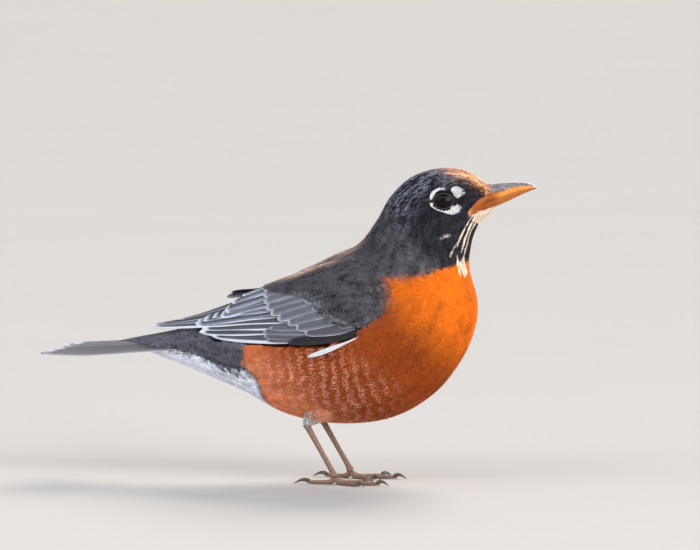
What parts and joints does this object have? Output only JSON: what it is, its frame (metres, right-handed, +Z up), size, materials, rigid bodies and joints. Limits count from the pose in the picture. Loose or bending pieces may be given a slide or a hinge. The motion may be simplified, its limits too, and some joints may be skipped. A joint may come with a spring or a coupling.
{
  "type": "american robin",
  "caption": "Life-size still model of a standing American robin, with folded wings, a fanned tail and a slightly raised bill.",
  "frame": {"origin": "on the floor, under the middle of the bird's length, between its feet from side to side", "axes": "+X forwards out of the bill, +Y to the bird's left, +Z up"},
  "size_m": [0.2316, 0.0688, 0.1493],
  "materials": {
    "head_plumage": "matt blackish feathers",
    "breast_plumage": "soft brick-orange feathers",
    "rump_plumage": "soft grey and white feathers",
    "wing_feathers": "smooth slate-grey flight feathers",
    "tail_feathers": "smooth blackish flight feathers",
    "bill": "satin horn",
    "eye": "wet and glossy",
    "leg_scales": "horny scales",
    "claw": "satin horn"
  },
  "bodies": {
    "root": {"bill_upper": "bill", "bill_lower": "bill", "head": "head_plumage", "neck": "head_plumage", "trunk": "breast_plumage", "rump": "rump_plumage", "eye_left": "eye", "wing_left_shoulder": "wing_feathers", "wing_left_coverts": "wing_feathers", "wing_left_secondaries": "wing_feathers", "wing_left_primaries": "wing_feathers", "thigh_left": "breast_plumage", "tarsus_left": "leg_scales", "toe_left_hind": "leg_scales", "claw_left_hind": "claw", "toe_left_inner": "leg_scales", "claw_left_inner": "claw", "toe_left_middle": "leg_scales", "claw_left_middle": "claw", "toe_left_outer": "leg_scales", "claw_left_outer": "claw", "eye_right": "eye", "wing_right_shoulder": "wing_feathers", "wing_right_coverts": "wing_feathers", "wing_right_secondaries": "wing_feathers", "wing_right_primaries": "wing_feathers", "thigh_right": "breast_plumage", "tarsus_right": "leg_scales", "toe_right_hind": "leg_scales", "claw_right_hind": "claw", "toe_right_inner": "leg_scales", "claw_right_inner": "claw", "toe_right_middle": "leg_scales", "claw_right_middle": "claw", "toe_right_outer": "leg_scales", "claw_right_outer": "claw", "tail_middle": "tail_feathers", "tail_left": "tail_feathers", "tail_right": "tail_feathers"}
  },
  "joints": []
}
